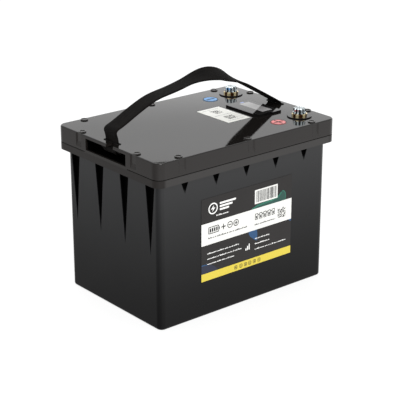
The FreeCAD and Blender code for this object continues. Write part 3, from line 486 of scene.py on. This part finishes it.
class Sheet:
    """A flat printed surface: places points given in millimetres on the sheet at a height above it."""

    def __init__(self, origin, across, up, slot):
        self.origin = Vector(origin)
        self.across = Vector(across)
        self.up = Vector(up)
        self.out = self.across.cross(self.up)
        self.slot = slot

    def point(self, u, v, lift):
        """The place, in metres, of a point given in millimetres on the sheet."""
        return self.origin + (self.across * u + self.up * v + self.out * lift) * MM

    def layer(self, name, ink, outlines, level, rings=()):
        """One piece of thin closed shapes: filled outlines, and rings between two outlines."""
        low = 0.02 + 0.05 * level
        high = low + 0.05
        bm = bmesh.new()
        for outline in outlines:
            self.add_prism(bm, outline, low, high)
        for outer, inner in rings:
            self.add_ring(bm, outer, inner, low, high)
        return make_piece(name, bm, ink)

    def add_prism(self, bm, outline, low, high):
        """A closed flat shape between two heights."""
        bottom = [bm.verts.new(self.point(u, v, low)) for u, v in outline]
        top = [bm.verts.new(self.point(u, v, high)) for u, v in outline]
        bm.faces.new(top)
        bm.faces.new(bottom[::-1])
        for i in range(len(outline)):
            j = (i + 1) % len(outline)
            bm.faces.new((bottom[i], bottom[j], top[j], top[i]))

    def add_ring(self, bm, outer, inner, low, high):
        """A closed flat band between two outlines."""
        loops = [[bm.verts.new(self.point(u, v, lift)) for u, v in outline]
                 for outline, lift in ((outer, low), (outer, high), (inner, high), (inner, low))]
        count = len(outer)
        for k in range(4):
            here = loops[k]
            there = loops[(k + 1) % 4]
            for i in range(count):
                j = (i + 1) % count
                bm.faces.new((here[i], here[j], there[j], there[i]))


def words(u0, u1, v, tall, rng):
    """A line of fine print, shown only as short blocks of uneven length."""
    marks = []
    u = u0
    while u < u1 - tall:
        length = min(rng.uniform(0.5, 1.1) * tall, u1 - u)
        marks.append(rounded(u, v, u + length, v + tall * rng.choice((0.62, 0.62, 0.7, 0.95))))
        u += length + tall * rng.choice((0.22, 0.22, 0.22, 0.7))
    return marks


def cell_row(u0, u1, v0, v1, count):
    """A row of upright cells, each an outline with a filled charge, joined by links."""
    pitch = (u1 - u0) / count
    rings = []
    blocks = []
    for k in range(count):
        left = u0 + k * pitch
        right = left + pitch * 0.72
        outer = rounded(left, v0, right, v1, 0.7)
        inner = rounded(left + 0.75, v0 + 0.75, right - 0.75, v1 - 0.75, 0.25)
        rings.append((outer, inner))
        blocks.append(rounded(left + 1.35, v0 + 1.35, right - 1.35, v0 + 1.35 + (v1 - v0) * 0.42))
        if k:
            blocks.append(rounded(left - pitch * 0.28, v1 - 2.6, left, v1 - 1.6))
    return blocks, rings


def battery_mark(u, v, tall):
    """A lying battery outline with its charge bars, then a plus sign and a ring with a minus."""
    long = tall * 1.85
    rings = [(rounded(u, v, u + long, v + tall, 1.2),
              rounded(u + 0.9, v + 0.9, u + long - 0.9, v + tall - 0.9, 0.5))]
    blocks = [rounded(u + long, v + tall * 0.3, u + long + 1.0, v + tall * 0.7)]
    for k in range(4):
        blocks.append(rounded(u + 1.9 + 3.1 * k, v + 1.9, u + 4.0 + 3.1 * k, v + tall - 1.9))
    middle = v + tall / 2
    plus = u + long + 6.5
    blocks += [rounded(plus - 3.2, middle - 0.6, plus + 3.2, middle + 0.6),
               rounded(plus - 0.6, middle + 0.6, plus + 0.6, middle + 3.2),
               rounded(plus - 0.6, middle - 3.2, plus + 0.6, middle - 0.6)]
    for k, around in enumerate((plus + 9.5, plus + 18.5)):
        rings.append((circle(around, middle, tall / 2 - 0.2, 32), circle(around, middle, tall / 2 - 1.1, 32)))
        blocks.append(rounded(around - 2.2, middle - 0.55, around + 2.2, middle + 0.55))
        if k:
            blocks.append(rounded(around - 0.55, middle + 0.55, around + 0.55, middle + 2.2))
            blocks.append(rounded(around - 0.55, middle - 2.2, around + 0.55, middle - 0.55))
    return blocks, rings


def code_patch(u0, v0, u1, v1, cells, rng, fill=0.5):
    """A patch of small random squares."""
    across = (u1 - u0) / cells
    up = (v1 - v0) / cells
    squares = []
    for i in range(cells):
        for j in range(cells):
            if rng.random() < fill:
                left = u0 + i * across
                low = v0 + j * up
                squares.append(rounded(left, low, left + 0.94 * across, low + 0.94 * up))
    return squares


# ---------------------------------------------------------------- labels

def front_label():
    """The large label: a dark ground with a white band, a yellow foot, and invented print."""
    low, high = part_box("front_label")
    sheet = Sheet((low.x, low.y, low.z), (1, 0, 0), (0, 0, 1), "front_print")
    wide = (high.x - low.x) / MM
    rng = random.Random(11)
    leaf = [(73, 67.9), (76.5, 70.2), (81, 72), (92, 73.4), (104, 73.9), (112.6, 74.9), (116, 77.6),
            (119, 80.3), (121.6, 80.4), (123.9, 78.7), (125.2, 75.3), (125.5, 71.6), (124.6, 67.9)]
    sheet.layer("label_leaf", INK["teal_ink"], [leaf], 0)
    vein = ribbon([(73.4, 68.2), (81, 70.9), (92, 71.6), (104, 72.2), (113.5, 74.4), (118.4, 78.6)], 1.7)
    rim = ribbon([(119.3, 79.9), (122, 79.6), (124.3, 76.9), (124.9, 73), (124.3, 68.2)], 0.8)
    sheet.layer("label_leaf_edge", INK["green_ink"], [vein, rim], 1)
    drop = [(69, 42.6), (69.6, 39), (71.8, 36), (76.5, 32), (79.2, 30), (82, 29), (82.4, 35), (81.8, 42.6)]
    sheet.layer("label_drop", INK["blue_ink"], [drop, [(130, 42.6), (132, 40.6), (wide - 0.1, 39.8),
                                                       (wide - 0.1, 42.6)]], 0)
    hill = [(0.2, 9), (25, 9), (22.6, 11), (20.4, 13.6), (17.3, 16.1), (13, 18), (8.5, 18.9), (0.2, 19.7)]
    sheet.layer("label_hill", INK["dusk_ink"], [hill], 0)
    sheet.layer("label_hill_edge", INK["blue_ink"], [ribbon([(0.3, 19.6), (4.5, 19.5), (8.5, 18.8)], 1.1)], 1)
    sheet.layer("label_band", INK["band_white"], [rounded(0.1, 42.5, wide - 0.1, 68.1)], 2)
    sheet.layer("label_foot", INK["yellow_ink"], [rounded(0.1, 0.1, wide - 0.1, 9.1)], 2)
    ring = (circle(16.6, 83.6, 6.6, 40), circle(16.6, 83.6, 5.2, 40))
    bolt = [(17.9, 87.4), (13.6, 82.9), (16.4, 82.9), (15.2, 79.6), (19.7, 84.4), (16.9, 84.4)]
    stripes = [rounded(26.2, 86.4 - 3.6 * k, 49.5 - 5 * k, 88.6 - 3.6 * k, 0.6) for k in range(3)]
    emblem = [bolt] + stripes + words(21.5, 38.5, 73.6, 1.7, rng)
    sheet.layer("label_emblem", INK["white_ink"], emblem, 2, [ring])
    sheet.layer("label_bar_patch", INK["band_white"], [rounded(77.7, 73.5, 112.3, 90.2)], 2)
    bars = []
    u = 79.8
    while u < 110.5:
        thick = rng.choice((0.45, 0.45, 0.9, 1.35))
        bars.append(rounded(u, 75.2, min(u + thick, 111), 88.6))
        u += thick + rng.choice((0.45, 0.6, 0.9))
    sheet.layer("label_bars", INK["dark_ink"], bars, 3)
    ratings, outlines = battery_mark(9.8, 54.6, 8.3)
    cells, cases = cell_row(78.4, 110.2, 54.5, 61.9, 5)
    small = words(9.8, 67.0, 49.2, 1.7, rng) + words(78.0, 110.2, 48.2, 1.5, rng)
    code = code_patch(113.1, 47.9, 125.1, 59.9, 15, rng)
    sheet.layer("label_ratings", INK["dark_ink"], ratings + cells + small + code, 3, outlines + cases)
    lines = []
    for u0, u1, v in ((8.5, 55.6, 31.0), (8.5, 58.7, 24.7), (8.5, 48.5, 18.6),
                      (78.8, 101.6, 31.0), (78.8, 101.8, 24.7), (78.8, 126.5, 18.1)):
        lines += words(u0, u1, v + 0.3, 1.5, rng)
    lines += [rounded(64.6 + 2.4 * k, 21.0, 66.1 + 2.4 * k, 23.6 + 2.3 * k, 0.3) for k in range(3)]
    sheet.layer("label_lines", INK["white_ink"], lines, 2)
    marks = []
    rings = []
    for k, u in enumerate((50.4, 58.0, 65.0, 71.4, 78.4, 85.4)):
        outer = rounded(u - 2.1, 2.2, u + 2.1, 6.6, 1.0)
        inner = rounded(u - 1.5, 2.8, u + 1.5, 6.0, 0.6)
        rings.append((outer, inner))
        if k % 2:
            marks.append([(u - 0.9, 3.6), (u + 0.9, 3.6), (u, 5.3)])
        else:
            marks.append(rounded(u - 0.8, 3.6, u + 0.8, 5.2, 0.3))
    sheet.layer("label_foot_marks", INK["dark_ink"], marks, 3, rings)


def top_label():
    """The small label on the lid: two code patches and rows of fine print."""
    low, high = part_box("top_label")
    sheet = Sheet((low.x, low.y, high.z), (1, 0, 0), (0, 1, 0), "top_print")
    rng = random.Random(5)
    ink = code_patch(11.0, 34.5, 23.5, 46.5, 14, rng, 0.45) + code_patch(10.5, 9.5, 23.0, 21.5, 14, rng, 0.45)
    sheet.layer("top_label_codes", INK["dark_ink"], ink, 0)
    rows = []
    for v in (50.5, 27.0, 4.5):
        rows += words(4, 29, v, 1.2, rng)
    sheet.layer("top_label_rows", INK["grey_ink"], rows, 0)


def sticker(name):
    """A round polarity sticker with a darker rim and its sign."""
    low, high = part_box(name)
    middle = (low + high) / 2
    sheet = Sheet((middle.x, middle.y, high.z), (1, 0, 0), (0, 1, 0), name.replace("sticker", "print"))
    radius = (high.x - low.x) / MM / 2
    sheet.layer(name + "_rim", INK["dark_ink"], [], 0,
                [(circle(0, 0, radius - 0.02, 64), circle(0, 0, radius - 1.1, 64))])
    bars = [rounded(-5.8, -1.1, 5.8, 1.1)]
    if name == "plus_sticker":
        bars = [rounded(-7, -0.8, -0.8, 0.8), rounded(0.8, -0.8, 7, 0.8), rounded(-0.8, -7, 0.8, 7)]
    sheet.layer(name + "_sign", INK["sign_ink"], bars, 1)


front_label()
top_label()
sticker("plus_sticker")
sticker("minus_sticker")


# ---------------------------------------------------------------- carrying strap

def spline(points, steps):
    """A smooth line through the middles of a route's runs, from its first point to its last."""
    ends = [points[0]] + [(points[i] + points[i + 1]) / 2 for i in range(1, len(points) - 2)] + [points[-1]]
    line = []
    for start, corner, end in zip(ends, points[1:], ends[1:]):
        for k in range(steps):
            t = k / steps
            line.append(start * (1 - t) ** 2 + corner * 2 * t * (1 - t) + end * t ** 2)
    line.append(points[-1])
    return line


def smooth(value, low, high):
    """Rises smoothly from 0 at low to 1 at high."""
    t = min(max((value - low) / (high - low), 0), 1)
    return t * t * (3 - 2 * t)


def strap_line():
    """The middle line of the strap from bar to bar: a loop round each bar and the arch between."""
    bar_low, bar_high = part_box("strap_bars")
    drop = (bar_low.z + bar_high.z) / 2
    loop = 0.0036
    slot = 0.120
    route = [(-120, -3), (-120, 2.5), (-121.2, 8), (-122.8, 12.6), (-120.6, 15.6), (-112.4, 18.6),
             (-92, 29.0), (-75, 36.6), (-62, 40.9), (-36, 44.6), (-15, 49.6), (8, 53.2), (24, 52.2),
             (36, 48.6), (50, 42.2), (66, 33.6), (92, 18.6), (114, 5.6), (119.6, 2.2), (120, -3)]
    middle = spline([Vector((x * MM, 0, LID_TOP + z * MM)) for x, z in route], 8)
    loops = []
    for side in (-1, 1):
        centre = Vector((side * slot, 0, drop))
        angles = [math.radians(18 * k) for k in range(19, 0, -1)]
        loops.append([centre + Vector((side * loop * math.sin(a), 0, loop * math.cos(a))) for a in angles])
    return loops[0] + middle + loops[1][::-1]


def strap_profile():
    """The section of the webbing, flat with eased edges, as offsets across it and through it."""
    low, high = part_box("strap_foot_left")
    half_width = (high.y - low.y) / 2
    half_thick = 0.0009
    edge = 0.0009
    flat = 2 * half_width - 2 * edge
    lower = [(-half_width + edge + flat * k / 6, -half_thick) for k in range(7)]
    right = [(half_width, -half_thick * 0.45), (half_width, half_thick * 0.45)]
    upper = [(half_width - edge - flat * k / 6, half_thick) for k in range(7)]
    left = [(-half_width, half_thick * 0.45), (-half_width, -half_thick * 0.45)]
    return lower + right + upper + left


def roll_at(point):
    """How far the webbing leans over about its length: most at the top of the arch."""
    if point.z <= LID_TOP:
        return 0.0
    x = point.x / MM
    return math.radians(30) * smooth(x, -22, 24) * (1 - smooth(x, 32, 67))


def carrying_strap():
    """The webbing handle, swept in one length, which bends where it leaves the lid."""
    line = strap_line()
    profile = strap_profile()
    bm = bmesh.new()
    layer = bm.loops.layers.uv.new("weave")
    rings = []
    distance = [0.0]
    for before, after in zip(line, line[1:]):
        distance.append(distance[-1] + (after - before).length)
    for i, point in enumerate(line):
        along = (line[min(i + 1, len(line) - 1)] - line[max(i - 1, 0)]).normalized()
        roll = roll_at(point)
        across = Vector((0, 1, 0))
        through = across.cross(along).normalized()
        across, through = (across * math.cos(roll) - through * math.sin(roll),
                           through * math.cos(roll) + across * math.sin(roll))
        rings.append([bm.verts.new(point + across * a + through * b) for a, b in profile])
    count = len(profile)
    for i in range(len(rings) - 1):
        for k in range(count):
            j = (k + 1) % count
            face = bm.faces.new((rings[i][k], rings[i][j], rings[i + 1][j], rings[i + 1][k]))
            for corner, (row, column) in zip(face.loops, ((i, k), (i, j), (i + 1, j), (i + 1, k))):
                corner[layer].uv = (distance[row], profile[column][0])
            face.smooth = True
    bm.faces.new(rings[0][::-1])
    bm.faces.new(rings[-1])
    strap = make_piece("carrying_strap", bm, MATERIALS["webbing"], None)
    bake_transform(strap)
    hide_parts("handle_strap", "strap_foot_left", "strap_foot_right")


carrying_strap()


# ---------------------------------------------------------------- studio

def paper_floor():
    """A plain pale floor, lit from within so that it stays white."""
    bm = bmesh.new()
    bmesh.ops.create_grid(bm, x_segments=1, y_segments=1, size=14)
    mesh = bpy.data.meshes.new("floor")
    bm.to_mesh(mesh)
    bm.free()
    floor = bpy.data.objects.new("floor", mesh)
    bpy.context.scene.collection.objects.link(floor)
    n = Nodes("floor_paper")
    fibre = n.ramp(n.noise(300, 3), 0.24, 0.26)
    n.shader.inputs["Emission Color"].default_value = (1, 1, 1, 1)
    n.shader.inputs["Emission Strength"].default_value = 0.82
    n.shader.inputs["Specular IOR Level"].default_value = 0.0
    paper = n.blend(fibre, (0.2, 0.2, 0.2), (0.28, 0.28, 0.28))
    mesh.materials.append(n.finish(Base_Color=paper, Roughness=0.9))


def sky():
    """A soft white surround, brightest low down and darker overhead, for the lid to mirror."""
    world = bpy.data.worlds.new("studio")
    bpy.context.scene.world = world
    world.use_nodes = True
    tree = world.node_tree
    place = tree.nodes.new("ShaderNodeTexCoord")
    split = tree.nodes.new("ShaderNodeSeparateXYZ")
    ramp = tree.nodes.new("ShaderNodeValToRGB")
    tree.links.new(place.outputs["Generated"], split.inputs[0])
    tree.links.new(split.outputs["Z"], ramp.inputs["Fac"])
    ramp.color_ramp.elements[0].position = 0.0
    ramp.color_ramp.elements[0].color = (1.0, 1.0, 1.0, 1)
    ramp.color_ramp.elements[1].position = 1.0
    ramp.color_ramp.elements[1].color = (0.55, 0.55, 0.55, 1)
    for height, tone in ((0.262, 1.22), (0.275, 1.12), (0.29, 0.78), (0.318, 0.86), (0.37, 0.62),
                         (0.55, 0.6)):
        ramp.color_ramp.elements.new(height).color = (tone, tone, tone, 1)
    tree.links.new(ramp.outputs["Color"], tree.nodes["Background"].inputs["Color"])
    tree.nodes["Background"].inputs["Strength"].default_value = 1.25


def lamps():
    """Two soft lights, one above and behind and one in front."""
    aim = Vector((0, 0, 0.1))
    lights = (("top", (0.5, 0.9, 2.2), 1.6, 18), ("front", (-0.7, -1.9, 1.6), 1.0, 30))
    for name, at, size, power in lights:
        lamp = bpy.data.lights.new(name, "AREA")
        lamp.size = size
        lamp.energy = power
        obj = bpy.data.objects.new(name, lamp)
        bpy.context.scene.collection.objects.link(obj)
        obj.location = at
        obj.rotation_euler = (aim - Vector(at)).to_track_quat("-Z", "Y").to_euler()


def camera():
    """The camera, at the photograph's angle and distance."""
    azimuth = math.radians(-39.73)
    elevation = math.radians(20.55)
    distance = 1.5141
    target = Vector((0.00197, -0.00174, 0.09996))
    level = math.cos(elevation)
    away = Vector((math.sin(azimuth) * level, -math.cos(azimuth) * level, math.sin(elevation)))
    data = bpy.data.cameras.new("camera")
    data.sensor_width = 36
    data.lens = 117.09
    obj = bpy.data.objects.new("camera", data)
    bpy.context.scene.collection.objects.link(obj)
    obj.location = target + away * distance
    obj.rotation_euler = (-away).to_track_quat("-Z", "Y").to_euler()
    bpy.context.scene.camera = obj


paper_floor()
sky()
lamps()
camera()
bpy.context.scene.view_settings.view_transform = "Standard"
